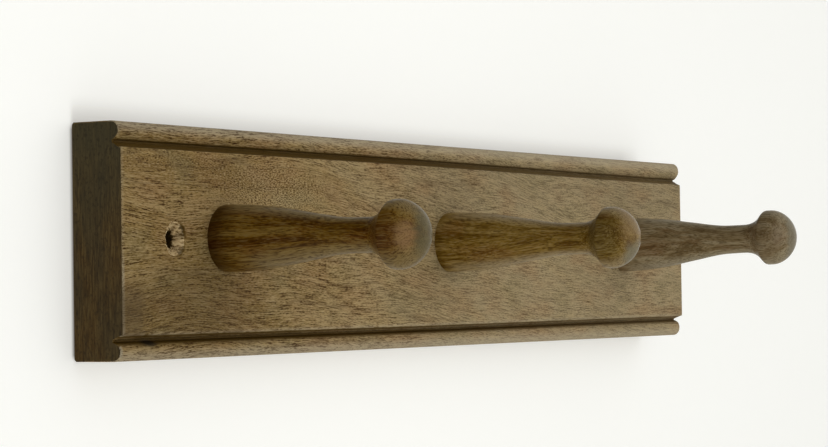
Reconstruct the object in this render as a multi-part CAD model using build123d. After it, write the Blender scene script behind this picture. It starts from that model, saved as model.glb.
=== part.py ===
from build123d import *
from math import acos, atan2, degrees, hypot, radians, sin, tan
import os

# Shaker peg rail: one hardwood board with a quirked bead worked along both long edges, and a row of
# turned pegs glued into it by their tenons. Millimetres.
#
# The frame is the rail as it hangs. The origin is the middle of the back face, which lies on the wall.
# +X runs along the rail to the right of someone facing it, +Z is up, and -Y comes out of the wall.

# ---- board ----
board_length = 472.0
board_width = 89.0            # 3 1/2 in
board_thickness = 23.1
back_ease = 0.8               # small chamfer along the two long back edges

# ---- quirked bead, the same along both long edges ----
bead_radius = 3.7
bead_sink = 1.4               # the bead's crown lies this far behind the board's face
quirk_depth = 4.4             # from the face to the quirk's floor
quirk_floor = 0.6             # width of the floor
quirk_draft = 1.5             # the quirk's outer wall leans back by this much on its way to the face

# ---- the row of pegs, with the screw holes on the same line ----
row_rise = 1.5                # the row lies this far above the middle of the board
peg_inset = 66.3              # from each end of the board to the outer pegs
screw_inset = 32.0            # from each end of the board to the screw holes
screw_hole_radius = 3.25
countersink_radius = 6.1
countersink_depth = 3.2

# Each peg, with its lean in degrees to the right and upwards: the pegs were set by hand.
peg_leans = {"peg_left": (-1.5, -0.2), "peg_middle": (1.0, 0.2), "peg_right": (-0.2, 1.5)}

# ---- shaft of a peg, with its lengths taken along the peg from the board's face ----
foot_radius = 13.1
neck_radius = 6.8
shaft_length = 71.9           # to where the knob's underside springs from the neck
foot_straight = 16.0          # from the face to the taper's lower corner
foot_ease = 14.5              # how far that corner is eased, each way
neck_straight = 17.5          # from the taper's upper corner to the end of the shaft
neck_ease = 6.3               # how far that corner is eased, each way
cove_radius = 13.0            # between the neck and the knob's underside

# ---- knob ----
knob_radius = 13.1
underside_rise = 6.0          # length of the sloping underside, along the peg
rim_radius = 1.4
rim_band = 2.5                # from the underside's outer corner to the widest place
shoulder_radius = 8.4         # the dome's outer curve
dome_height = 11.7            # from the widest place to the tip

# ---- tenon ----
tenon_radius = 6.35           # 1/2 in
tenon_length = 16.0
tenon_chamfer = 0.8
glue_gap = 0.1                # all round the tenon
glue_pocket = 1.0             # behind the tenon's end


def board_section():
    """The moulded section, with x out of the wall and y up: its upper half is drawn, then mirrored."""
    edge = board_width / 2
    bead_x = board_thickness - bead_sink - bead_radius
    bead_y = edge - bead_radius
    floor_x = board_thickness - quirk_depth
    # The round runs from the board's edge over the bead's crown and on to the floor of the quirk.
    past_crown = acos((floor_x - bead_x) / bead_radius)
    bead_foot = bead_y - bead_radius * sin(past_crown)
    floor_end = bead_foot - quirk_floor
    round_bead = CenterArc((bead_x, bead_y), bead_radius, 90, -90 - degrees(past_crown))
    back_and_edge = Polyline((0, 0), (0, edge - back_ease), (back_ease, edge), (bead_x, edge))
    quirk_and_face = Polyline(
        (floor_x, bead_foot),
        (floor_x, floor_end),
        (board_thickness, floor_end - quirk_draft),
        (board_thickness, 0),
        (0, 0),
    )
    upper_half = make_face(back_and_edge + round_bead + quirk_and_face)
    return upper_half + mirror(upper_half, about=Plane.XZ)


def knob_and_shaft(behind):
    """The turned body about its own axis, with +Z towards the tip. The foot starts at Z = -behind."""
    taper_turn = atan2(foot_radius - neck_radius, shaft_length - foot_straight - neck_straight)
    rim_height = shaft_length + underside_rise
    widest_height = rim_height + rim_band
    foot_to_rim = FilletPolyline(
        (foot_radius, -behind),
        (foot_radius, foot_straight),
        (neck_radius, shaft_length - neck_straight),
        (neck_radius, shaft_length),
        (knob_radius, rim_height),
        (knob_radius, widest_height),
        radius=[
            foot_ease / tan(taper_turn / 2),
            neck_ease / tan(taper_turn / 2),
            cove_radius,
            rim_radius,
        ],
    )
    # The dome is a shoulder arc and a flatter cap that meet on one tangent. The cap's centre is on the
    # axis, so its radius follows from the shoulder and the height.
    shoulder_x = knob_radius - shoulder_radius
    cap_radius = (shoulder_x**2 + dome_height**2 - shoulder_radius**2) / (2 * (dome_height - shoulder_radius))
    tip_height = widest_height + dome_height
    meeting_angle = degrees(acos(shoulder_x / (cap_radius - shoulder_radius)))
    shoulder = CenterArc((shoulder_x, widest_height), shoulder_radius, 0, meeting_angle)
    cap = CenterArc((0, tip_height - cap_radius), cap_radius, meeting_angle, 90 - meeting_angle)
    axis_and_back = Polyline((0, tip_height), (0, -behind), (foot_radius, -behind))
    half_outline = make_face(foot_to_rim + shoulder + cap + axis_and_back)
    return revolve(Plane.XZ * half_outline, Axis.Z)


def tenon():
    """The round tenon, from inside the foot down to its chamfered end at Z = -tenon_length."""
    spindle = Pos(Z=-tenon_length) * Cylinder(
        tenon_radius, tenon_length + foot_straight, align=(Align.CENTER, Align.CENTER, Align.MIN)
    )
    return chamfer(spindle.edges().sort_by(Axis.Z)[0], tenon_chamfer)


def socket_cutter(before):
    """The blind hole for a tenon, open for the length "before" in front of Z = 0."""
    depth = tenon_length + glue_pocket
    return Pos(Z=-depth) * Cylinder(
        tenon_radius + glue_gap, depth + before, align=(Align.CENTER, Align.CENTER, Align.MIN)
    )


def screw_cutter():
    """A countersunk hole about Z, with the middle of its mouth at the origin."""
    shank = Cylinder(screw_hole_radius, 3 * board_thickness)
    mouth = Pos(Z=-countersink_depth / 2) * Cone(screw_hole_radius, countersink_radius, countersink_depth)
    return shank + mouth


def on_face(x):
    """A place on the row: its origin lies on the board's face, and its +Z points out of the wall."""
    return Pos(x, -board_thickness, row_rise) * Rot(X=90)


# ---- the board, then each peg with its socket ----
section_plane = Plane(origin=(-board_length / 2, 0, 0), x_dir=(0, -1, 0), z_dir=(1, 0, 0))
backboard = extrude(section_plane * board_section(), board_length)
for x in (screw_inset - board_length / 2, board_length / 2 - screw_inset):
    backboard -= on_face(x) * screw_cutter()

face_plane = Plane(origin=(0, -board_thickness, 0), z_dir=(0, -1, 0))
peg_pitch = (board_length - 2 * peg_inset) / (len(peg_leans) - 1)
# The lean lifts one side of a foot off the face, so a foot is turned longer by this and cut flush.
foot_allowance = foot_radius * tan(radians(max(hypot(*lean) for lean in peg_leans.values()))) + 0.5

parts = {}
for i, (name, (lean_right, lean_up)) in enumerate(peg_leans.items()):
    place = on_face(peg_inset - board_length / 2 + i * peg_pitch) * Rot(X=-lean_up, Y=lean_right)
    turning = place * knob_and_shaft(foot_allowance)
    parts[name] = split(turning, bisect_by=face_plane, keep=Keep.TOP) + place * tenon()
    backboard -= place * socket_cutter(foot_allowance)
parts["backboard"] = backboard

os.makedirs("parts", exist_ok=True)
for name, part in parts.items():
    part.label = name
    export_step(part, f"parts/{name}.step")
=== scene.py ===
from math import acos, atan2, hypot, pi, radians, sin, tan

import bpy
import numpy as np
from mathutils import Matrix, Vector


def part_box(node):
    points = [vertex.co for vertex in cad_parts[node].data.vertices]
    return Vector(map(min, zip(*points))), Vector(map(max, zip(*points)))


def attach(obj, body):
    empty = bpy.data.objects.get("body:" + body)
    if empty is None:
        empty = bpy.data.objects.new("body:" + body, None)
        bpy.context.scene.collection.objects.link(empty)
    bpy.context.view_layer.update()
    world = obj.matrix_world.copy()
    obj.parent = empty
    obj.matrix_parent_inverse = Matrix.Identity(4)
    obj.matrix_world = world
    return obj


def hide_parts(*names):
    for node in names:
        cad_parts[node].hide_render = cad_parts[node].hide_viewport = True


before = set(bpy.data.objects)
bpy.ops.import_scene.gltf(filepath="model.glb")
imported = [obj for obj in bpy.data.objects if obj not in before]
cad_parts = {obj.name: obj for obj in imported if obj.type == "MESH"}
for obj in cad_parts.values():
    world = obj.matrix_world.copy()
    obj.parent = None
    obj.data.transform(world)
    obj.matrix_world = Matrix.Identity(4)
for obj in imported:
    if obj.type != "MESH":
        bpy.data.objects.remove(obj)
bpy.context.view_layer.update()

# ======== backboard ========
# One board of open-pored hardwood, planed, with a quirked bead worked along both long edges and both ends
# sawn square. It is stained brown and rubbed out dull, and hangs by two countersunk screw holes.

MM = 0.001
low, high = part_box("backboard")
board_length = (high.x - low.x) / MM
board_width = (high.z - low.z) / MM
board_thickness = (high.y - low.y) / MM

bead_radius = 3.7
bead_sink = 1.4               # the bead's crown lies this far behind the board's face
quirk_depth = 4.4             # from the face to the quirk's floor
quirk_floor = 0.6             # width of the floor
quirk_draft = 1.5             # the quirk's outer wall leans back by this much on its way to the face
back_ease = 0.8               # small chamfer along the two long back edges
arris_radius = 0.35
end_arris_radius = 0.4

row_rise = 1.5                # the row of pegs and holes lies this far above the middle of the board
screw_inset = 32.0
screw_hole_radius = 3.25
countersink_radius = 6.1
countersink_depth = 3.2
torn_drop = 0.5               # the left screw hole's mouth tore out this far below the row
peg_inset = 66.3
foot_radius = 13.1
socket_radius = 6.45
socket_depth = 17.0

# Each peg's lean in degrees to the right and upwards, and where it stands along the board.
peg_leans = {"peg_left": (-1.5, -0.2), "peg_middle": (1.0, 0.2), "peg_right": (-0.2, 1.5)}
peg_places = {
    name: (board_length / 2 - peg_inset) * step for name, step in zip(peg_leans, (-1, 0, 1))
}

# Each hole's place along the board and what it is: a screw's, torn or clean, or the socket of a named peg.
holes = [(screw_inset - board_length / 2, "torn"), (board_length / 2 - screw_inset, "clean")]
holes = sorted(holes + [(x, name) for name, x in peg_places.items()])
hole_reach = 9.5              # half the side of the square that the front leaves open round each hole

# The board's finishes, by the numbers that its faces carry.
stained, sawn, torn, planed = range(4)


def ripple(t, waves, seed):
    """A smooth uneven line: the mean of sines over t with the given wavelengths and random phases."""
    phases = np.random.default_rng(seed).uniform(0, 2 * pi, len(waves))
    return np.mean([np.sin(2 * pi * t / wave + phase) for wave, phase in zip(waves, phases)], axis=0)


def blob(distance, reach):
    """A soft spot: 1 at no distance, falling off as exp(-(distance / reach)^4)."""
    return np.exp(-((distance / reach) ** 4))


def ramp_up(value, start, end):
    """0 up to the start, 1 from the end on, and an eased 3 t^2 - 2 t^3 between."""
    t = np.clip((value - start) / (end - start), 0, 1)
    return t * t * (3 - 2 * t)


def turn_corner(before, corner, after, radius, steps=5):
    """The points of an arc that rounds a corner. Its ends lie radius * tan(turn / 2) from the corner."""
    before, corner, after = (np.array(point, float) for point in (before, corner, after))
    a = (before - corner) / np.linalg.norm(before - corner)
    b = (after - corner) / np.linalg.norm(after - corner)
    half = acos(a @ b) / 2
    middle = corner + (a + b) / np.linalg.norm(a + b) * radius / sin(half)
    start = corner + a * radius / tan(half) - middle
    end = corner + b * radius / tan(half) - middle
    sweep = pi - 2 * half
    t = np.linspace(0, 1, steps)[:, None]
    return middle + (np.sin((1 - t) * sweep) * start + np.sin(t * sweep) * end) / sin(sweep)


bead_out = board_thickness - bead_sink - bead_radius
bead_height = board_width / 2 - bead_radius
floor_out = board_thickness - quirk_depth
past_crown = acos((floor_out - bead_out) / bead_radius)
bead_foot = bead_height - bead_radius * sin(past_crown)
flat_end = bead_foot - quirk_floor - quirk_draft


def pinched(x, height):
    """How far the plane wandered towards the middle of the board, at a place of the quirk and the bead.

    It is 1.2 mm at the right end above and 0.5 mm below, in full at the quirk and none at the board's edge.
    """
    reach = (0.85 + 0.35 * np.sign(height)) * ramp_up(x, -60, board_length / 2)
    side = np.abs(height)
    return reach * ramp_up(side, flat_end - 9, flat_end - 1) * ramp_up(side, board_width / 2, bead_foot)


def front_outline():
    """The upper half of the moulded front, from the middle of the flat up to the edge, as (height, out).

    The flat ends in an eased arris, a leaning wall drops to the quirk's floor, and the bead's arc runs on
    from there over its crown to the edge: height = centre + r sin(angle), out = centre + r cos(angle).
    """
    wall_foot = (bead_foot - quirk_floor, floor_out)
    arris = turn_corner((0, board_thickness), (flat_end, board_thickness), wall_foot, arris_radius)
    flat = np.stack([np.linspace(0, arris[0, 0], 27)[:-1], np.full(26, board_thickness)], axis=1)
    wall = np.linspace(arris[-1], wall_foot, 8)[1:]
    angle = np.linspace(-past_crown, pi / 2, 26)[:, None]
    bead = bead_radius * np.concatenate([np.sin(angle), np.cos(angle)], axis=1) + (bead_height, bead_out)
    return np.concatenate([flat, arris, wall, bead])


half_outline = front_outline()
outline = np.concatenate([half_outline[:0:-1] * (-1, 1), half_outline])


def board_block(columns, layers):
    """The board as a block of points: columns along x, rows up the moulded outline, layers through it.

    A point is (x, -(back + share (front - back)), height). The skin is drawn in by r (1 - cos t) where it
    runs within r of an end, which rounds the end's arrises, and where use has worn the arrises and crowns.
    The moulding was run by hand, so the beads' crowns rise and fall, the lower quirk is the deeper one, and
    the arrises of the flat lie a little nearer to the middle than they were set out.
    """
    height, out = outline.T
    back = np.clip(np.abs(height) - (board_width / 2 - back_ease), 0, None)
    share = np.linspace(0, 1, layers)
    depth = back[:, None] + share * (out - back)[:, None]
    shape = (len(columns), len(height), layers)
    x = np.broadcast_to(columns[:, None, None], shape).copy()
    y = np.broadcast_to(depth, shape).copy()
    z = np.broadcast_to(height[:, None], shape).copy()

    step = np.hypot(np.gradient(out), np.gradient(height))
    out_normal, up_normal = np.gradient(height) / step, -np.gradient(out) / step
    from_end = np.minimum(columns - columns[0], columns[-1] - columns)
    drawn_in = end_arris_radius * (1 - np.cos(np.arcsin(np.clip(1 - from_end / end_arris_radius, 0, 1))))
    drawn_in = drawn_in[:, None]

    at_arris = blob(np.abs(height) - flat_end, 1.2)
    at_crown = blob(np.abs(height) - bead_height, 2.8)
    worn = 0.10 * at_arris * (1 + ripple(columns, (47, 19, 7.3, 3.1), 3)[:, None])
    worn = worn + 0.10 * at_crown * (1 + ripple(columns, (83, 31, 11, 5.3), 4)[:, None])
    # Nicks in the flat's arrises: the place along the board, the lower arris or the upper, and the depth.
    nicks = ((-221, -1, 0.5), (-207, 1, 0.35), (-96, 1, 0.45), (-61, -1, 0.3), (58, 1, 0.4), (112, -1, 0.5))
    for place, side, bite in nicks:
        worn = worn + bite * blob(columns[:, None] - place, 1.3) * blob(height - side * flat_end, 0.7)

    to_left, to_right = ramp_up(columns, 0, columns[0])[:, None], ramp_up(columns, 0, columns[-1])[:, None]
    sunk = -0.35 * to_left + np.where(height > 0, -0.7, 0.1) * to_right
    sunk = sunk * ramp_up(np.abs(height), bead_foot, bead_height)
    dug = 0.35 * blob(np.abs(height) - bead_foot + quirk_floor / 2, 1.0) * -np.sign(height)
    eased = np.where(height > 0, 0.45, 0.15) * blob(np.abs(height) - flat_end, 1.0)

    inward = (drawn_in + worn) * out_normal + sunk + dug
    downward = (drawn_in + worn) * up_normal + np.sign(height) * (pinched(columns[:, None], height) + eased)
    y -= inward[:, :, None] * share
    z -= downward[:, :, None] * share
    y[:, :, 0] += drawn_in
    z[:, -1, :] = np.minimum(z[:, -1, :], board_width / 2 - drawn_in)
    z[:, 0, :] = np.maximum(z[:, 0, :], drawn_in - board_width / 2)
    kerf = 0.05 * ripple(depth + 0.02 * height[:, None], (5.3, 3.7, 2.9), 6) * np.sin(pi * share) ** 0.3
    x[0] += 0.05 + kerf
    x[-1] -= 0.05 + kerf[::-1]
    return np.stack([x, -y, z], axis=-1)


def rim_of(grid):
    """The numbers round the edge of a grid of points, once round."""
    return np.concatenate([grid[:-1, 0], grid[-1, :-1], grid[:0:-1, -1], grid[0, :0:-1]])


def ring_faces(one, other):
    """The quads between two closed rings with as many points each."""
    return np.stack([one, np.roll(one, -1), np.roll(other, -1), other], axis=1)


def fan_faces(ring, middle):
    """The triangles from a closed ring to one point, as quads whose last corner repeats."""
    ends = np.full(len(ring), middle)
    return np.stack([ring, np.roll(ring, -1), ends, ends], axis=1)


def grid_faces(grid):
    """The quads of a grid of point numbers."""
    return np.stack([grid[:-1, :-1], grid[1:, :-1], grid[1:, 1:], grid[:-1, 1:]], axis=-1).reshape(-1, 4)


def screw_hole(angle, tear, seed):
    """A countersunk hole as rings (radius, depth) over the angle, from its mouth down to the board's back.

    The clean shape is a cone and then a straight bore. Its wall is broken by sines of the angle that drift
    with depth, most of all down the cone. The mouth is narrower at the left, and the cone's foot is torn out
    deeper at the right.
    """
    t = np.array([0, 0.03, 0.07, 0.12, 0.18, 0.25, 0.33, 0.42, 0.52, 0.62, 0.72, 0.82, 0.9, 0.96, 1.0])
    cone = countersink_radius - (countersink_radius - screw_hole_radius) * t
    radius = np.concatenate([cone, np.full(9, screw_hole_radius)])
    bore = np.array([3.8, 4.2, 4.9, 6.1, 7.9, 10.4, 14, 18, board_thickness])
    depth = np.concatenate([countersink_depth * t, bore])
    rough = tear * np.interp(depth, [0, 0.4, 3.2, 5.4, board_thickness], [0.45, 0.7, 0.7, 0.3, 0.1])
    waves = [2 * pi / n for n in (2, 3, 5, 7, 11, 17, 23, 31)]
    broken = sum(
        ripple(angle[None, :] + drift * depth[:, None], waves[k:k + 4], seed + k)
        for k, drift in ((0, 0.05), (2, 0.12), (4, -0.1))
    )
    radius = radius[:, None] + rough[:, None] * broken
    radius = radius - 0.45 * tear * blob(angle % (2 * pi) - pi, 0.9) * (depth[:, None] < 1)
    lifted = 0.35 * rough[:, None] * np.maximum(ripple(angle, waves[3:], seed + 9), -0.2)
    lifted = lifted - 0.4 * tear * np.maximum(np.cos(angle), 0) * ramp_up(depth[:, None], 1, 3)
    depth = np.clip(depth[:, None] - lifted * (depth[:, None] < 3.5), -0.35 * tear, board_thickness)
    return radius, depth


def socket(angle):
    """A blind hole as rings (radius, depth): a straight bore with a flat floor that closes to a point."""
    radius = np.array([1, 1, 1, 1, 0.6, 0.2]) * socket_radius
    depth = np.array([0, 0.33, 0.66, 1, 1, 1]) * socket_depth
    return radius[:, None] + 0 * angle, depth[:, None] + 0 * angle


def board_columns():
    """Where the block's columns lie: close on the rounds at both ends, and even between them from square to
    square, with a finer pitch up to the left peg's square, because the torn hole is there.
    """
    half = board_length / 2
    fine_pitch, coarse_pitch = 1.2, 2.0
    end_round = -half + end_arris_radius * (1 - np.cos(np.linspace(0, pi / 2, 5)))[:-1]
    square_sides = [place + side for place, _ in holes for side in (-hole_reach, hole_reach)]
    stations = [-half + end_arris_radius, *square_sides, half - end_arris_radius]
    columns = [end_round]
    for k, (a, b) in enumerate(zip(stations, stations[1:])):
        pitch = fine_pitch if k < 3 else coarse_pitch
        columns.append(np.linspace(a, b, round((b - a) / pitch) + 1)[:-1])
    return np.concatenate([*columns, [stations[-1]], -end_round[::-1]])


def hole_rings(place, kind, across, up):
    """The rings from a square's rim down its hole, each as x, y, z and the finish of the faces up to it.

    A ring is x = centre + r cos(angle), z = centre + r sin(angle). The angles turn from those of the
    square's rim to even ones on the way to the mouth, and torn fibres lift the face in arcs round the mouth.
    """
    square = np.unwrap(np.arctan2(up, across))
    even = square[0] + np.linspace(0, 2 * pi, len(square) + 1)[:-1]
    tear = {"torn": 1.0, "clean": 0.15}.get(kind, 0.0)
    radius, depth = screw_hole(even, tear, seed=40) if tear else socket(even)
    lean_x, lean_z = (tan(radians(lean)) for lean in peg_leans.get(kind, (0, 0)))
    askew = torn_drop * tear
    rings = []
    for blend in (0.2, 0.4, 0.55, 0.68, 0.78, 0.86, 0.93):
        angle = square + (even - square) * blend
        r = np.hypot(across, up) * (1 - blend) + radius[0] * blend
        gap = r - radius[0]
        lip = 0.6 * tear * blob(gap - 0.8, 0.7) * np.maximum(ripple(angle, (2.1, 0.9, 0.4), 21), 0)
        ring_z = row_rise - askew * blend + r * np.sin(angle)
        rings.append((place + r * np.cos(angle), -board_thickness - lip, ring_z, stained))
    for r, d in zip(radius, depth):
        ring_x = place - d * lean_x + r * np.cos(even)
        ring_z = row_rise - askew - d * lean_z + r * np.sin(even)
        rings.append((ring_x, d - board_thickness, ring_z, torn if tear else stained))
    return rings


def board_mesh():
    """The block's skin, with a square of the front left open at each hole and led down into its rings.

    A screw's hole ends in a square left open in the back, and a socket in a fan of triangles.
    """
    columns = board_columns()
    block = board_block(columns, layers=17)
    outer = np.ones(block.shape[:3], bool)
    outer[1:-1, 1:-1, 1:-1] = False
    index = np.cumsum(outer.ravel()).reshape(outer.shape) - 1
    points, faces, paints = [block[outer]], [], []
    total = int(outer.sum())
    front_open = np.zeros((index.shape[0] - 1, index.shape[1] - 1), bool)
    back_open = front_open.copy()
    square_edges = np.array([-hole_reach, hole_reach])
    for place, kind in holes:
        i0, i1 = np.abs(columns[:, None] - place - square_edges).argmin(0)
        j0, j1 = np.abs(outline[:, :1] - row_rise - square_edges).argmin(0)
        window = (slice(i0, i1 + 1), slice(j0, j1 + 1))
        front_open[i0:i1, j0:j1] = True
        last = rim_of(index[window + (-1,)])
        across, up = points[0][last][:, 0] - place, points[0][last][:, 2] - row_rise
        for *ring, finish in hole_rings(place, kind, across, up):
            new = total + np.arange(len(last))
            points.append(np.stack(ring, axis=1))
            faces.append(ring_faces(last, new))
            paints.append(np.full(len(last), finish))
            total, last = total + len(last), new
        if kind in peg_places:
            points.append(points[-1].mean(0)[None])
            faces.append(fan_faces(last, total))
            paints.append(np.full(len(last), stained))
            total += 1
        else:
            back_open[i0:i1, j0:j1] = True
            faces.append(ring_faces(last, rim_of(index[window + (0,)])))
            paints.append(np.full(len(last), planed))
    sides = [
        (index[:, :, -1], ~front_open, stained),
        (index[::-1, :, 0], ~back_open[::-1], planed),
        (index[:, -1, ::-1], None, stained),
        (index[:, 0, :], None, stained),
        (index[0, ::-1, :], None, sawn),
        (index[-1, :, :], None, sawn),
    ]
    for grid, kept, finish in sides:
        made = grid_faces(grid)
        made = made if kept is None else made[kept.ravel()]
        faces.append(made)
        paints.append(np.full(len(made), finish))
    return np.concatenate(points), np.concatenate(faces), np.concatenate(paints)


def make_piece(name, points, faces, paints, materials):
    """A mesh object from points in millimetres. A face's last corner may repeat, which makes a triangle."""
    three = faces[:, 2] == faces[:, 3]
    corners = faces[~three].tolist() + faces[three, :3].tolist()
    paints = np.concatenate([paints[~three], paints[three]])
    mesh = bpy.data.meshes.new(name)
    mesh.from_pydata((points * MM).tolist(), [], corners)
    for material in materials:
        mesh.materials.append(material)
    mesh.polygons.foreach_set("material_index", paints)
    mesh.shade_smooth()
    mesh.set_sharp_from_angle(angle=radians(38))
    piece = bpy.data.objects.new(name, mesh)
    bpy.context.scene.collection.objects.link(piece)
    return piece


def paint_points(piece, fields):
    """Stores each field as one number per point of the piece's mesh, for its materials to read."""
    for name, values in fields.items():
        layer = piece.data.attributes.new(name, "FLOAT", "POINT")
        layer.data.foreach_set("value", np.asarray(values, float))


def linear(code):
    """A colour for the shaders from its sRGB hex code."""
    parts = [int(code[k:k + 2], 16) / 255 for k in (1, 3, 5)]
    return [p / 12.92 if p <= 0.04045 else ((p + 0.055) / 1.055) ** 2.4 for p in parts] + [1]


def add(tree, kind, inputs=(), out=0, stops=(), **settings):
    """Adds a node with its settings, its ramp's stops and its inputs, and gives back one of its outputs.

    An input goes by its number or its name, and is linked if it is a socket and set if it is a value. By
    number, MapRange takes 0 from the span 1 to 2 over to the span 3 to 4, MULTIPLY_ADD is 0 times 1 plus 2,
    and a Mix goes from 2 to 3, or with colours from 6 to 7, as 0 goes from 0 to 1.
    """
    node = tree.nodes.new("ShaderNode" + kind)
    for name, value in settings.items():
        setattr(node, name, value)
    for k, (position, code) in enumerate(stops):
        ramp = node.color_ramp.elements
        stop = ramp[k] if k < 2 else ramp.new(position)
        stop.position = position
        stop.color = linear(code)
    for place, value in dict(inputs).items():
        if isinstance(value, bpy.types.NodeSocket):
            tree.links.new(value, node.inputs[place])
        else:
            node.inputs[place].default_value = value
    return node.outputs[out]


def new_finish(name):
    """An empty material, its tree, and the place on the object in millimetres."""
    material = bpy.data.materials.new(name)
    material.use_nodes = True
    tree = material.node_tree
    tree.nodes.clear()
    here = add(tree, "TexCoord", out=3)
    return material, tree, add(tree, "Mapping", {0: here, 3: [1 / MM] * 3})


def lumps(tree, place, size, detail=1.0, rough=0.5):
    """A soft mottle whose lumps are about as long, deep and high as the size in millimetres says."""
    scaled = add(tree, "Mapping", {0: place, 3: [1 / s for s in size]})
    return add(tree, "TexNoise", {"Vector": scaled, "Scale": 1.0, "Detail": detail, "Roughness": rough})


def laid_over(tree, ground, code, share, most=1.0):
    """Lays a colour over the ground, as thick as the share says, times the most that it may be."""
    thick = add(tree, "Math", {0: share, 1: most}, operation="MULTIPLY", use_clamp=True)
    return add(tree, "Mix", {0: thick, 6: ground, 7: linear(code)}, out=2, data_type="RGBA")


def close(tree, inputs):
    """Ends a finish with the shader, given its inputs, and the output."""
    shader = add(tree, "BsdfPrincipled", inputs)
    output = tree.nodes.new("ShaderNodeOutputMaterial")
    tree.links.new(shader, output.inputs[0])


def stained_face():
    """Open-pored hardwood, planed and stained: tan, with brown pore dashes along a grain that wanders.

    The dashes are cut pores, 2 to 9 mm long and a third of a millimetre wide, that crowd and thin out.
    Thin dark lines, a few millimetres apart, are late wood where the plane cut through the growth rings.
    """
    material, tree, place = new_finish("stained_open_pored_hardwood")
    paint = {
        name: add(tree, "Attribute", out=2, attribute_name=name)
        for name in ("grain_lift", "faded", "speckled", "deep_stain_and_foot_shade", "worn", "dull", "grime_and_shade", "soot")
    }
    sway = lumps(tree, place, (85, 60, 34), 1.0, 0.4)
    lift = add(tree, "Math", {0: sway, 1: 6.0, 2: paint["grain_lift"]}, operation="MULTIPLY_ADD")
    lift = add(tree, "CombineXYZ", {2: lift})
    flow = add(tree, "VectorMath", {0: place, 1: lift}, operation="ADD")

    bands = lumps(tree, flow, (120, 5, 5), 2.0, 0.55)
    patches = lumps(tree, place, (30, 30, 13), 2.0, 0.5)
    tone = (0.36, "#83683a"), (0.5, "#917645"), (0.64, "#9a8052")
    ground = add(tree, "ValToRGB", {0: bands}, stops=tone)
    ground = laid_over(tree, ground, "#a29170", paint["faded"], 0.85)
    reddish = add(tree, "MapRange", {0: patches, 1: 0.48, 2: 0.66})
    ground = laid_over(tree, ground, "#8e6a48", reddish, 0.4)
    mossy = add(tree, "MapRange", {0: patches, 1: 0.46, 2: 0.32})
    ground = laid_over(tree, ground, "#7a6d48", mossy, 0.4)

    short = lumps(tree, flow, (2.0, 0.34, 0.34), 1.0, 0.6)
    long = lumps(tree, flow, (9.0, 0.36, 0.36), 1.0, 0.6)
    specks = lumps(tree, flow, (1.3, 0.42, 0.42), 1.0, 0.6)
    crowd = lumps(tree, flow, (45, 2.6, 2.6), 2.0, 0.6)
    dashes = add(tree, "Mix", {0: 0.55, 2: short, 3: long})
    dashes = add(tree, "Mix", {0: paint["speckled"], 2: dashes, 3: specks})
    dashes = add(tree, "Math", {0: crowd, 1: 0.09, 2: dashes}, operation="MULTIPLY_ADD")
    pale = add(tree, "MapRange", {0: dashes, 1: 0.56, 2: 0.67})
    pores = add(tree, "MapRange", {0: dashes, 1: 0.54, 2: 0.44})
    strength = add(tree, "Math", {0: paint["faded"], 1: -0.45, 2: 0.98}, operation="MULTIPLY_ADD")
    strength = add(tree, "Math", {0: paint["speckled"], 1: -0.15, 2: strength}, operation="MULTIPLY_ADD")
    strength = add(tree, "Math", {0: paint["worn"], 1: -0.35, 2: strength}, operation="MULTIPLY_ADD")
    ground = laid_over(tree, ground, "#b8a077", pale, 0.6)
    # Wear and a painted highlight pale the beads' crowns and the arrises.
    ground = laid_over(tree, ground, "#b3a58b", paint["worn"])
    level = add(tree, "SeparateXYZ", {0: flow}, out=2)
    wander = lumps(tree, flow, (70, 9, 9), 2.0, 0.5)
    rings = add(tree, "Math", {0: wander, 1: 24.0, 2: level}, operation="MULTIPLY_ADD")
    rings = add(tree, "Math", {0: rings, 1: 5.5}, operation="PINGPONG")
    late = add(tree, "MapRange", {0: rings, 1: 0.7, 2: 0.1})
    late = add(tree, "Math", {0: late, 1: strength}, operation="MULTIPLY")
    ground = laid_over(tree, ground, "#49331a", late, 0.42)
    pored = add(tree, "Math", {0: pores, 1: strength}, operation="MULTIPLY")
    ground = laid_over(tree, ground, "#391e02", pored)

    # Deeper stain, and a ring of painted shade round each peg's foot.
    ground = laid_over(tree, ground, "#4a3b20", paint["deep_stain_and_foot_shade"], 0.5)
    ground = laid_over(tree, ground, "#56462f", paint["dull"], 0.55)
    # Old wax in the quirks with painted shade over it, and a painted rim shadow by the torn hole.
    ground = laid_over(tree, ground, "#4a350a", paint["grime_and_shade"])
    ground = laid_over(tree, ground, "#1a1510", paint["soot"])
    bump = add(tree, "Bump", {"Height": pores, "Strength": 0.5, "Distance": -0.0001})
    roughness = add(tree, "MapRange", {0: patches, 1: 0.3, 2: 0.7, 3: 0.55, 4: 0.70})
    close(tree, {"Base Color": ground, "Roughness": roughness, "Specular IOR Level": 0.06, "Normal": bump})
    return material


def sawn_end():
    """End grain off the saw, near black-brown, with faint upright saw lines."""
    material, tree, place = new_finish("stained_hardwood_end_grain")
    lines = lumps(tree, place, (50, 0.7, 7), 2.0, 0.6)
    patches = lumps(tree, place, (50, 8, 26), 2.0, 0.5)
    tone = (0.32, "#3b280b"), (0.5, "#513c1a"), (0.7, "#64502b")
    ground = add(tree, "ValToRGB", {0: lines}, stops=tone)
    height = add(tree, "SeparateXYZ", {0: place}, out=2)
    toward_top = add(tree, "MapRange", {0: height, 1: -6.0, 2: 38.0})
    ground = laid_over(tree, ground, "#45412c", toward_top, 0.65)
    blotch = add(tree, "MapRange", {0: patches, 1: 0.4, 2: 0.62})
    ground = laid_over(tree, ground, "#3c3725", blotch, 0.4)
    dots = lumps(tree, place, (5, 1.1, 1.6), 1.0, 0.6)
    pores = add(tree, "MapRange", {0: dots, 1: 0.45, 2: 0.32})
    ground = laid_over(tree, ground, "#21170a", pores, 0.4)
    bump = add(tree, "Bump", {"Height": lines, "Strength": 0.5, "Distance": 0.0002})
    close(tree, {"Base Color": ground, "Roughness": 0.8, "Specular IOR Level": 0.25, "Normal": bump})
    return material


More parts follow.
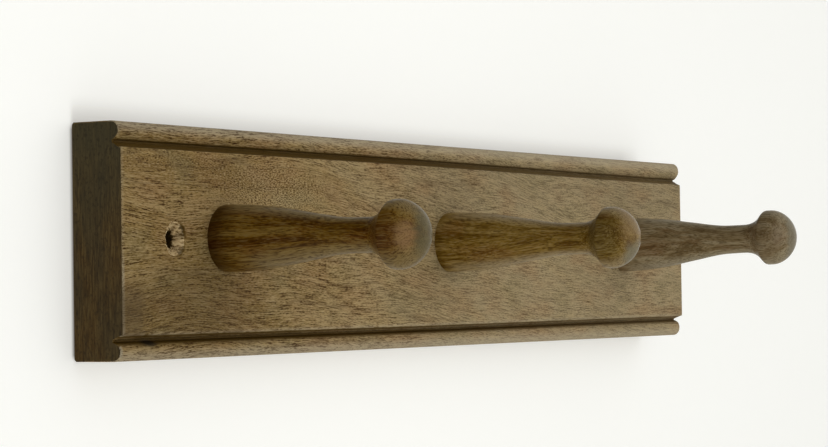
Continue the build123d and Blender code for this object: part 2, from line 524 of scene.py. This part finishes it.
def torn_wood():
    """Bare wood torn by the drill: pale and mottled at the mouth, with painted rim shadow and painted shade
    down the bore.
    """
    material, tree, place = new_finish("torn_bare_hardwood")
    fibres = lumps(tree, place, (2.2, 1.3, 0.7), 2.0, 0.6)
    tone = (0.36, "#6b5330"), (0.46, "#b0966d"), (0.6, "#cfb68b")
    ground = add(tree, "ValToRGB", {0: fibres}, stops=tone)
    deep = add(tree, "Attribute", out=2, attribute_name="deep")
    rim_shadow_and_dirt = add(tree, "Attribute", out=2, attribute_name="rim_shadow_and_dirt")
    # Painted rim shadow on the torn wood, and darker wood on some splinters.
    ground = laid_over(tree, ground, "#3f2f12", rim_shadow_and_dirt)
    # Painted shade down the bore.
    ground = laid_over(tree, ground, "#3f2e0e", deep)
    bump = add(tree, "Bump", {"Height": fibres, "Strength": 0.8, "Distance": 0.0004})
    close(tree, {"Base Color": ground, "Roughness": 0.9, "Specular IOR Level": 0.1, "Normal": bump})
    return material


def planed_back():
    """The back, never meant to be seen: planed bare, gone tan with age, with stain run in from the edges."""
    material, tree, place = new_finish("bare_planed_hardwood_back")
    grain = lumps(tree, place, (60, 4, 1.4), 3.0, 0.6)
    tone = (0.34, "#6a5535"), (0.5, "#86704b"), (0.68, "#98835d")
    ground = add(tree, "ValToRGB", {0: grain}, stops=tone)
    dashes = lumps(tree, place, (6.0, 0.6, 0.6), 1.0, 0.6)
    pores = add(tree, "MapRange", {0: dashes, 1: 0.46, 2: 0.34})
    ground = laid_over(tree, ground, "#46331a", pores, 0.8)
    runs = lumps(tree, place, (26, 10, 5), 3.0, 0.6)
    edge = add(tree, "Attribute", out=2, attribute_name="near_edge")
    runs = add(tree, "Math", {0: edge, 1: 0.9, 2: runs}, operation="MULTIPLY_ADD")
    stain = add(tree, "MapRange", {0: runs, 1: 0.72, 2: 0.95})
    ground = laid_over(tree, ground, "#4b3a1f", stain, 0.85)
    cuts = lumps(tree, place, (2.6, 30, 70), 0.0)
    bump = add(tree, "Bump", {"Height": cuts, "Strength": 0.3, "Distance": 0.0003})
    close(tree, {"Base Color": ground, "Roughness": 0.75, "Specular IOR Level": 0.2, "Normal": bump})
    return material


points, faces, paints = board_mesh()
finishes = [stained_face(), sawn_end(), torn_wood(), planed_back()]
board = make_piece("board", points, faces, paints, finishes)

# Where each point lies: along the board from its left end, from its middle line as the plane wandered,
# behind the face, and round the torn hole.
x, y, z = points.T
along = x + board_length / 2
side = np.abs(z) + pinched(x, z)
sunk = board_thickness + y
in_front = ramp_up(-y, 12, 15)
torn_hole = (screw_inset - board_length / 2, -board_thickness, row_rise - torn_drop)
torn_x, torn_z = x - torn_hole[0], z - torn_hole[2]
torn_r, torn_angle = np.hypot(torn_x, torn_z), np.arctan2(torn_z, torn_x)

# The grain sweeps round the left peg's foot and rises to the right. Two patches show it as specks, where it
# comes up through the face.
sweep_end = 58.0
left_of_peg = ramp_up(along, sweep_end, 8) * (blob(z + 12, 13) - 0.4 * blob(z - 16, 12))
lift = np.interp(along, [0, 70, 150, 250, 350, board_length], [0, 0, 4, 14, 24, 32])
lift = lift + 0.07 * (sweep_end - np.minimum(along, sweep_end)) * left_of_peg
lift = lift + 2.0 * ripple(along + 1.5 * z, (150, 83), 15)
speckled = blob(np.hypot((along - 98) / 42, (z - 21) / 11), 1.0)
speckled = speckled + 0.5 * blob((z - 30.5) / 4.5, 1.0) * (along < 70)

# The stain has faded towards the right and is deepest at the lower left, and painted shade rings each foot.
faded = ramp_up(along, 30, 330) + 0.18 * ripple(along + 2 * z, (70, 41, 23), 12)
from_peg = np.min([np.hypot(x - place, z - row_rise) for place in peg_places.values()], axis=0)
stain = 0.7 * blob(np.hypot((along - 42) / 52, (z + 24) / 15), 1.0) + 0.25 * ramp_up(along, 200, 0)
# A ring of painted shade on the face round each foot.
stain = stain + 0.25 * blob(from_peg - foot_radius - 0.4, 0.9) * (sunk < 0.5)
stain = stain + 0.25 * ramp_up(z, 5, 30) * ramp_up(along, 120, 260) * (z < flat_end)

# Old wax and painted shade darken the quirks, most at the left; painted rim shadow lies in two arcs by the
# torn hole.
past_flat, past_foot = side - flat_end, side - bead_foot
upper_quirk = ramp_up(past_flat, -0.55, -0.25) * ramp_up(past_foot, 1.0, 0.3)
# The lower quirk's painted shade runs up the bead's flank, and a thin dark line lies under the flat's arris.
lower_quirk = ramp_up(past_foot, -0.9, -0.3) * ramp_up(past_foot, 2.0, 0.5)
lower_quirk = lower_quirk + 0.7 * blob(past_flat - 0.35, 0.22)
lower_quirk = lower_quirk + 0.35 * ramp_up(past_flat, 0, 0.3) * ramp_up(past_foot, 0.8, -0.2)
grime_and_shade = np.where(z > 0, upper_quirk, lower_quirk) * in_front * ramp_up(sunk, 0.1, 0.4)
grime_and_shade = grime_and_shade * (0.93 - 0.25 * ramp_up(along, 150, board_length))
# A painted shadow of the torn hole's rim, in two arcs.
arcs = blob(torn_r - 6.7, 0.85) * np.maximum(blob(torn_angle - 0.6, 0.5), 0.8 * blob(torn_angle + 0.8, 0.4))
grime_and_shade = grime_and_shade + arcs * (sunk < 0.3)
# The rim's painted shadow in the same arcs, and a dark spot to the upper right of the mouth.
rim_shadow_and_dirt = arcs + 0.5 * blob(np.hypot(torn_x - 5.2, torn_z - 1.6), 1.3)
# Painted shade fills the bore from about 3 mm down, a little deeper at the right.
bore_edge = sunk + 0.2 * ripple(torn_angle, (1.3, 0.7, 0.4), 8) - 0.45 * np.maximum(np.cos(torn_angle), 0)

# Wear and a painted highlight make the beads' crowns and the arrises pale; the lower left corner is rubbed
# dull.
on_bead = ramp_up(side, bead_height - 1.5, bead_height + 2.5) * in_front * (sunk < 6)
worn = np.where(z > 0, 0.7, 0.65) * on_bead
# A painted highlight along the flat's lower arris.
worn = worn + 0.6 * blob(sunk - 0.12, 0.22) * blob(past_flat, 0.45) * (z < 0)
left_arris = blob(along - 0.3, 0.7) * ramp_up(-z, 2, 14) + 0.4 * blob(along - 0.2, 0.5)
worn = worn + 0.55 * left_arris * (sunk < 2)
dull = ramp_up(along, 16, 9) * ramp_up(-z, 13, 22) * (sunk < 1) * (side < flat_end)
soot = 0.9 * blob(np.hypot((along - 19) / 4.5, (z + 38) / 1.3), 1.0) * in_front
near_edge = ramp_up(np.maximum(side - 34, (np.abs(x) - board_length / 2) + 12), 0, 11)

paint_points(board, {
    "grain_lift": lift - 3.0,
    "faded": np.clip(faded, 0, 1),
    "speckled": np.clip(speckled, 0, 1),
    "deep_stain_and_foot_shade": np.clip(stain, 0, 1),
    "worn": np.clip(worn, 0, 1),
    "dull": np.clip(dull, 0, 1),
    "grime_and_shade": np.clip(grime_and_shade, 0, 1),
    "soot": np.clip(soot, 0, 1),
    "deep": ramp_up(bore_edge, 2.7, 3.0),
    "rim_shadow_and_dirt": np.clip(rim_shadow_and_dirt, 0, 1) * (torn_r < 9),
    "near_edge": near_edge,
})
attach(board, "root")
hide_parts("backboard")

# ======== splinters ========
# The drill tore the fibres at the mouth of the left screw hole. They are thin blades of the board's own
# wood, rooted in the countersink's wall along the grain, and they curl a little way out over its rim.

splinter_count = 16
dice = np.random.default_rng(12)
bearing = dice.uniform(-1.3, 1.3, splinter_count)
root_depth = dice.uniform(0.4, 2.2, splinter_count)
root_radius = countersink_radius - (countersink_radius - screw_hole_radius) * root_depth / countersink_depth
reach = -dice.uniform(0.5, 2.2, splinter_count)
curl = dice.uniform(0.2, 1.1, splinter_count)
drift = dice.uniform(-0.5, 0.5, splinter_count)
half_width = dice.uniform(0.12, 0.30, splinter_count)
t = np.linspace(0, 1, 8)[None, :]


def splinter_mesh():
    """Blades x = root + reach (1.2 t - 0.35), out = curl t^2, z = root + drift t, with a diamond section.

    The section's half width is w (1 - 0.96 t)^0.7 and its half thickness a third of that, so a blade thins
    out almost to a point. Both ends are closed.
    """
    spine_x = (root_radius * np.cos(bearing) - 0.35 * reach)[:, None] + reach[:, None] * 1.2 * t
    spine_y = root_depth[:, None] - curl[:, None] * t**2
    spine_z = (root_radius * np.sin(bearing))[:, None] + drift[:, None] * t
    width = half_width[:, None] * (1 - 0.96 * t) ** 0.7
    corner = np.arange(4) * pi / 2
    grid_x = np.broadcast_to(spine_x[..., None], spine_x.shape + (4,))
    grid_y = spine_y[..., None] + width[..., None] / 3 * np.sin(corner)
    grid_z = spine_z[..., None] + width[..., None] * np.cos(corner)
    grid = np.stack([grid_x, grid_y, grid_z], -1)
    grid = grid + torn_hole
    index = np.arange(grid[..., 0].size).reshape(grid.shape[:3])
    ahead, beside = index[:, 1:, :], np.roll(index, -1, axis=2)
    sides = np.stack([index[:, :-1], beside[:, :-1], beside[:, 1:], ahead], -1)
    ends = np.concatenate([index[:, 0, ::-1], index[:, -1, :]])
    return grid.reshape(-1, 3), np.concatenate([sides.reshape(-1, 4), ends])


points, faces = splinter_mesh()
splinters = make_piece("splinters", points, faces, np.zeros(len(faces), int), [finishes[torn]])
# Each blade carries painted shade towards its root, and some are darker wood.
paint_points(splinters, {
    "deep": 0.25 * np.tile(np.repeat(1 - t[0], 4), splinter_count),
    "rim_shadow_and_dirt": np.repeat(dice.uniform(0, 0.7, splinter_count), t.size * 4),
})
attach(splinters, "root")

# ======== pegs ========
# Three pegs of the same wood, turned with a long taper and a mushroom knob. Each is glued into its blind
# hole by a round tenon, stands a little out of true, and carries a thin satin varnish over its stain.

neck_radius = 6.8
shaft_length = 71.9
foot_straight = 16.0
foot_ease = 14.5
neck_straight = 17.5
neck_ease = 6.3
cove_radius = 13.0
knob_radius = 13.1
underside_rise = 6.0
rim_radius = 1.4
rim_band = 2.5
shoulder_radius = 8.4
dome_height = 11.7
tenon_radius = 6.35
tenon_length = 16.0
tenon_chamfer = 0.8
widest = shaft_length + underside_rise + rim_band


def peg_outline():
    """The outline of shaft and knob as (radius, height): straight runs with rounded corners, then the dome.

    The dome is a shoulder arc and a flatter cap that share a tangent. The cap's centre is on the axis.
    """
    taper_turn = atan2(foot_radius - neck_radius, shaft_length - foot_straight - neck_straight)
    corners = [
        (foot_radius, 0),
        (foot_radius, foot_straight),
        (neck_radius, shaft_length - neck_straight),
        (neck_radius, shaft_length),
        (knob_radius, shaft_length + underside_rise),
        (knob_radius, widest),
    ]
    radii = [foot_ease / tan(taper_turn / 2), neck_ease / tan(taper_turn / 2), cove_radius, rim_radius]
    bends = [turn_corner(*corners[k:k + 3], radius, 40) for k, radius in enumerate(radii)]
    shoulder_x = knob_radius - shoulder_radius
    cap_radius = (shoulder_x**2 + dome_height**2 - shoulder_radius**2) / (2 * (dome_height - shoulder_radius))
    meeting = acos(shoulder_x / (cap_radius - shoulder_radius))
    a = np.linspace(0, meeting, 40)
    shoulder = np.stack([shoulder_x + shoulder_radius * np.cos(a), widest + shoulder_radius * np.sin(a)], 1)
    a = np.linspace(meeting, pi / 2, 40)
    cap = np.stack([cap_radius * np.cos(a), widest + dome_height - cap_radius + cap_radius * np.sin(a)], 1)
    return np.concatenate([[corners[0]], *bends, shoulder, cap])


def peg_mesh(name, seed):
    """A turned surface: x = r cos(angle), z = r sin(angle) about the leaning axis, with closed ends.

    The outline is resampled evenly. The gouge left rings about 1.3 mm apart, and the knob and the shaft are
    a little out of round. The foot's first ring is where the peg meets the board's face, and the tenon's
    rings follow behind it.
    """
    spin = np.linspace(0, 2 * pi, 144, endpoint=False)
    line = peg_outline()
    run = np.concatenate([[0], np.cumsum(np.hypot(*np.diff(line, axis=0).T))])
    r, h = (np.interp(np.linspace(0, run[-1], 230)[:-1], run, line[:, k]) for k in (0, 1))
    swell = 0.05 * ripple(h, (41, 23, 9), seed) + 0.018 * ripple(h, (1.3, 1.9, 0.9), seed + 1)
    calm = np.clip(r / 3, 0, 1) * np.clip(h / 2, 0, 1)
    radius = (r + swell * calm)[:, None] * (1 + 0.004 * np.cos(2 * spin + seed) * calm[:, None])
    height = np.broadcast_to(h[:, None], radius.shape).copy()

    lean_x, lean_z = (tan(radians(lean)) for lean in peg_leans[name])
    top = np.array([lean_x, -1, lean_z]) / hypot(1, lean_x, lean_z)
    side = np.array([1, lean_x, 0]) / hypot(1, lean_x)
    up = np.cross(top, side)
    to_face = -(side[1] * np.cos(spin) + up[1] * np.sin(spin)) / top[1]
    height[0] = to_face * radius[0]
    tenon_r = np.array([3.0, tenon_radius - tenon_chamfer, *[tenon_radius] * 4])
    tenon_h = np.array([-tenon_length, -tenon_length, tenon_chamfer - tenon_length, -10, -5, 0])
    tenon_r = np.broadcast_to(tenon_r[:, None], (6, len(spin)))
    tenon_h = np.broadcast_to(tenon_h[:, None], (6, len(spin))).copy()
    tenon_h[-1] = to_face * tenon_radius
    radius = np.concatenate([tenon_r, radius])
    height = np.concatenate([tenon_h, height])

    rings = (np.cos(spin) * radius)[..., None] * side + (np.sin(spin) * radius)[..., None] * up
    ends = np.array([[-tenon_length], [line[-1, 1]]]) * top
    points = np.concatenate([(rings + height[..., None] * top).reshape(-1, 3), ends])
    points = points + (peg_places[name], -board_thickness, row_rise)
    index = np.arange(radius.size).reshape(radius.shape)
    body = grid_faces(np.concatenate([index, index[:, :1]], axis=1))[:, ::-1]
    tail = fan_faces(index[0][::-1], radius.size)
    tip = fan_faces(index[-1], radius.size + 1)
    places = np.stack([radius * np.cos(spin), radius * np.sin(spin), height], -1).reshape(-1, 3)
    places = np.concatenate([places, [[0, 0, -tenon_length], [0, 0, line[-1, 1]]]])
    return points, np.concatenate([body, tail, tip]), places


def varnished_turning(name, tones, dark, zones):
    """The same wood turned and varnished, with dark dashes along the axis that end as specks on the dome.

    The varnish is so thin that it shines only at a low angle. A painted sheen makes each peg paler along the
    top and the bottom. The knob is cut into zones of their own colour by the flat-sawn figure, darker in the
    core, with a painted sheen on the middle and a painted grey reflection on the tip.
    """
    material, tree, place = new_finish("thinly_varnished_turned_hardwood_" + name)
    paint = {
        part: add(tree, "Attribute", out=2, attribute_name=part)
        for part in ("foot_stain_and_shade", "painted_sheen", "core", "middle", "tip")
    }
    sway = lumps(tree, place, (14, 45, 14), 1.0)
    sway = add(tree, "Math", {0: sway, 1: 8.0, 2: -4.0}, operation="MULTIPLY_ADD")
    sway = add(tree, "CombineXYZ", {0: sway, 2: sway})
    flow = add(tree, "VectorMath", {0: place, 1: sway}, operation="ADD")
    bands = lumps(tree, flow, (3.2, 80, 3.2), 3.0, 0.6)
    ground = add(tree, "ValToRGB", {0: bands}, stops=tuple(zip((0.38, 0.5, 0.62), tones)))
    patches = lumps(tree, place, (9, 20, 9), 2.0)
    reddish = add(tree, "MapRange", {0: patches, 1: 0.52, 2: 0.68})
    ground = laid_over(tree, ground, "#6b3a0c", reddish, 0.35)
    # Painted sheen along the top and the bottom of the peg.
    ground = laid_over(tree, ground, zones[0], paint["painted_sheen"], 0.8)
    # The knob's zones: figure, with a painted sheen on the middle and a painted grey reflection on the tip.
    ground = laid_over(tree, ground, zones[1], paint["core"], 0.7)
    ground = laid_over(tree, ground, zones[2], paint["middle"], 0.7)
    ground = laid_over(tree, ground, zones[3], paint["tip"], 0.75)
    short = lumps(tree, flow, (0.36, 3.0, 0.36), 1.0, 0.6)
    long = lumps(tree, flow, (0.5, 12.0, 0.5), 1.0, 0.6)
    dashes = add(tree, "Mix", {0: 0.5, 2: short, 3: long})
    calm = add(tree, "Math", {0: paint["middle"], 1: -0.25, 2: 0.65}, operation="MULTIPLY_ADD")
    calm = add(tree, "Math", {0: paint["tip"], 1: -0.35, 2: calm}, operation="MULTIPLY_ADD", use_clamp=True)
    pores = add(tree, "MapRange", {0: dashes, 1: 0.51, 2: 0.40})
    pored = add(tree, "Math", {0: pores, 1: calm}, operation="MULTIPLY")
    pale = add(tree, "MapRange", {0: dashes, 1: 0.52, 2: 0.63})
    pale = add(tree, "Math", {0: pale, 1: calm}, operation="MULTIPLY")
    ground = laid_over(tree, ground, zones[0], pale, 0.55)
    ground = laid_over(tree, ground, dark, pored)
    # Stain and painted shade at the foot, on the side away from the light.
    ground = laid_over(tree, ground, "#200a00", paint["foot_stain_and_shade"])
    bump = add(tree, "Bump", {"Height": pores, "Strength": 0.5, "Distance": -0.00005})
    close(tree, {
        "Base Color": ground,
        "Roughness": 0.5,
        "Specular IOR Level": 0.03,
        "Normal": bump,
        "Coat Weight": 0.5,
        "Coat IOR": 1.15,
        "Coat Roughness": 0.15,
    })
    return material


# For each peg, the grain's dark, middle and pale tones, its pores, and the colours of its painted sheen and
# of the core, the middle and the tip of its knob.
peg_tones = {
    "peg_left": (
        ("#523303", "#6d4d0f", "#80642c"), "#2c1100", ("#87734b", "#5e3910", "#9c7a55", "#5c563f"),
    ),
    "peg_middle": (
        ("#684b10", "#846728", "#9b8048"), "#3f2806", ("#9b8762", "#584619", "#8b7250", "#777260"),
    ),
    "peg_right": (
        ("#6c5838", "#867251", "#99896b"), "#4c3d26", ("#988b70", "#705c44", "#8a7866", "#7e7766"),
    ),
}
for seed, (name, finish) in enumerate(peg_tones.items()):
    points, faces, places = peg_mesh(name, 60 + 7 * seed)
    finish = varnished_turning(name.removeprefix("peg_"), *finish)
    peg = make_piece(name.replace("peg", "turned_peg"), points, faces, np.zeros(len(faces), int), [finish])
    across, up, height = places.T
    radius = np.hypot(across, up)

    # The left peg is darkest at its foot, with stain and painted shade on its side away from the light, and
    # its painted sheen covers more of its lower half.
    foot_dark_reach, sheen_gap, low_sheen_edge = (14.0, 16.0, 0.2) if name == "peg_left" else (4.0, 0.0, 0.6)
    foot_stain_and_shade = ramp_up(height, foot_dark_reach + 2.5 * ripple(up, (9, 4, 2.3), seed), 0.3) * ramp_up(across, 2, -9)
    foot_stain_and_shade = 0.05 * foot_dark_reach * foot_stain_and_shade
    # The left peg's painted sheen starts higher up its underside.
    sheen_gap = sheen_gap * (up < 0)
    from_foot = ramp_up(height, 1 + 0.4 * sheen_gap, 9 + sheen_gap) * (radius > 1)
    ridge = np.abs(up) / np.maximum(radius, 1e-6)

    # The growth rings cross each knob aslant and part it into a core, a middle and a tip. The core is darker,
    # the middle carries a painted sheen and the tip a painted grey reflection.
    knob = ramp_up(height, widest - 9.5, widest - 6.0)
    figure = 0.52 * across + 0.853 * (height - widest) + 0.8 * ripple(up, (7, 4.1, 2.3), seed + 5)
    core, middle, tip = {
        "peg_left": (
            0.9 * ramp_up(figure, 0.5, -3.5) * blob(up + 0.5, 7.0),
            blob(np.hypot(figure - 2.2, (up + 0.5) / 1.3), 4.4),
            ramp_up(figure, 3.5, 7.5) * blob(up - 0.5, 10),
        ),
        "peg_middle": (
            ramp_up(figure, 5.5, -1.5) * blob(up + 0.5, 9.5),
            ramp_up(figure, 0.5, 5.0) * ramp_up(up, -3.5, 3.0),
            ramp_up(figure, 2.0, 6.0) * ramp_up(up, 1, -6),
        ),
        "peg_right": (
            0.6 * ramp_up(figure, 4.0, 0.0) * blob(up + 2, 9),
            0.5 * blob(figure - 2.5, 3.5) * blob(up - 1, 6),
            ramp_up(figure, 4.5, 7.5),
        ),
    }[name]
    paint_points(peg, {
        "foot_stain_and_shade": np.clip(foot_stain_and_shade, 0, 1),
        # Painted sheen: paler bands along the top and the bottom.
        "painted_sheen": np.where(up > 0, ramp_up(ridge, 0.62, 0.95), ramp_up(ridge, low_sheen_edge, 0.9)) * from_foot,
        "core": knob * core,
        "middle": knob * middle,
        "tip": knob * tip,
    })
    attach(peg, "root")
    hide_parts(name)

# ======== studio ========
# A pale wall right behind the rail and a pale floor below, both clear from their far sides so that the
# rail's back and underside can be seen.
# The light is a soft tent, brightest low to the right and in front, and dim to the left and above.

wall_gap = 0.6 * MM
wall_reach = 6.0
floor_drop = 0.45
# How far the painted shadow above the rail reaches, in millimetres.
shadow_reach = 12.0


def painted_sheet(name, corners, code, glow, with_painted_shade):
    """One flat rectangle with matt paint that glows as in a light tent, a little less towards the right.

    It is clear from behind. One with painted shade is dark behind the rail and has a painted shadow just
    above it.
    """
    material, tree, place = new_finish("matt_paint_" + name)
    mottle = lumps(tree, place, (300, 300, 300), 2.0)
    bright = add(tree, "MapRange", {0: mottle, 1: 0.3, 2: 0.7, 3: 0.985, 4: 1.0})
    ground = add(tree, "VectorMath", {0: linear(code)[:3], 3: bright}, operation="SCALE")
    sideways = add(tree, "SeparateXYZ", {0: place}, out=0)
    glow = add(tree, "MapRange", {0: sideways, 1: 0.0, 2: 600.0, 3: glow, 4: glow - 0.08})
    paint = {"Base Color": ground, "Roughness": 0.9, "Specular IOR Level": 0.1}
    paint.update({"Emission Color": linear("#fdfcf8"), "Emission Strength": glow})
    shader = add(tree, "BsdfPrincipled", paint)
    if with_painted_shade:
        # Painted shade: a dark brown matt behind the rail, and a painted shadow that fades out above it
        # between its ends.
        above = add(tree, "SeparateXYZ", {0: place}, out=2)
        edge, half = board_width / 2 - 0.5, board_length / 2
        fall = {0: above, 1: edge + shadow_reach, 2: edge, 4: 0.28}
        painted_shade = add(tree, "MapRange", fall, interpolation_type="SMOOTHSTEP")
        under = add(tree, "MapRange", {0: above, 1: -edge, 2: 2 - edge})
        painted_shade = add(tree, "Math", {0: painted_shade, 1: under}, operation="MULTIPLY")
        behind_rail = add(tree, "MapRange", {0: above, 1: edge, 2: edge - 2})
        behind_rail = add(tree, "Math", {0: behind_rail, 1: under}, operation="MULTIPLY")
        painted_shade = add(tree, "Math", {0: painted_shade, 1: behind_rail}, operation="MAXIMUM")
        for end, past in ((2 - half, -1 - half), (half - 21, half)):
            along_rail = add(tree, "MapRange", {0: sideways, 1: past, 2: end})
            painted_shade = add(tree, "Math", {0: painted_shade, 1: along_rail}, operation="MULTIPLY")
        shade_paint = add(tree, "BsdfDiffuse", {0: linear("#4e3c18")})
        shader = add(tree, "MixShader", {0: painted_shade, 1: shader, 2: shade_paint})
    behind = add(tree, "NewGeometry", out=6)
    shader = add(tree, "MixShader", {0: behind, 1: shader, 2: add(tree, "BsdfTransparent")})
    output = tree.nodes.new("ShaderNodeOutputMaterial")
    tree.links.new(shader, output.inputs[0])
    mesh = bpy.data.meshes.new(name)
    mesh.from_pydata(corners, [], [(0, 1, 2, 3)])
    mesh.materials.append(material)
    sheet = bpy.data.objects.new(name, mesh)
    bpy.context.scene.collection.objects.link(sheet)
    return sheet


wall_corners = [(-wall_reach, wall_gap, -floor_drop), (wall_reach, wall_gap, -floor_drop),
                (wall_reach, wall_gap, wall_reach), (-wall_reach, wall_gap, wall_reach)]
# The wall carries painted shade behind the rail and a painted shadow just above it.
wall = painted_sheet("wall", wall_corners, "#d8d8d7", 0.44, True)
wall.visible_diffuse = False
wall.visible_glossy = False
wall.visible_transmission = False
wall.visible_shadow = False
floor_corners = [(-wall_reach, -wall_reach, -floor_drop), (wall_reach, -wall_reach, -floor_drop),
                 (wall_reach, wall_reach, -floor_drop), (-wall_reach, wall_reach, -floor_drop)]
painted_sheet("floor", floor_corners, "#d1d2cd", 0.42, False)

world = bpy.data.worlds.new("light_tent")
bpy.context.scene.world = world
world.use_nodes = True
tree = world.node_tree
tree.nodes.clear()
toward_light = (0.46, -0.66, -0.59)
tent_mean = 0.78
tent_fall = 0.95              # the share of the mean that is added towards the light and lost away from it
tent_seen = 0.93              # the even glow that the camera sees in its place
direction = add(tree, "TexCoord", out=0)
toward = add(tree, "VectorMath", {0: direction, 1: toward_light}, out=1, operation="DOT_PRODUCT")
glow = add(tree, "Math", {0: toward, 1: tent_mean * tent_fall, 2: tent_mean}, operation="MULTIPLY_ADD")
seen = add(tree, "LightPath", out=0)
strength = add(tree, "Mix", {0: seen, 2: glow, 3: tent_seen})
backdrop = add(tree, "Background", {"Color": linear("#fcfdf9"), "Strength": strength})
output = tree.nodes.new("ShaderNodeOutputWorld")
tree.links.new(backdrop, output.inputs[0])

# The camera stands to the left of the rail, 1.2 m away, and looks along it.
camera_place = (-1005.43, -617.84, -20.70)
forward = (0.853446, 0.520516, 0.026340)
rightward = (0.520968, -0.853452, -0.014536)
downward = (0.014914, 0.026128, -0.999547)
camera = bpy.data.objects.new("camera", bpy.data.cameras.new("camera"))
camera.data.lens = 114.577
camera.data.sensor_width = 36.0
camera.data.clip_start = 0.01
camera.matrix_world = Matrix(
    [[rightward[k], -downward[k], -forward[k], camera_place[k] * MM] for k in range(3)] + [[0, 0, 0, 1]]
)
bpy.context.scene.collection.objects.link(camera)
bpy.context.scene.camera = camera
bpy.context.scene.view_settings.view_transform = "Standard"
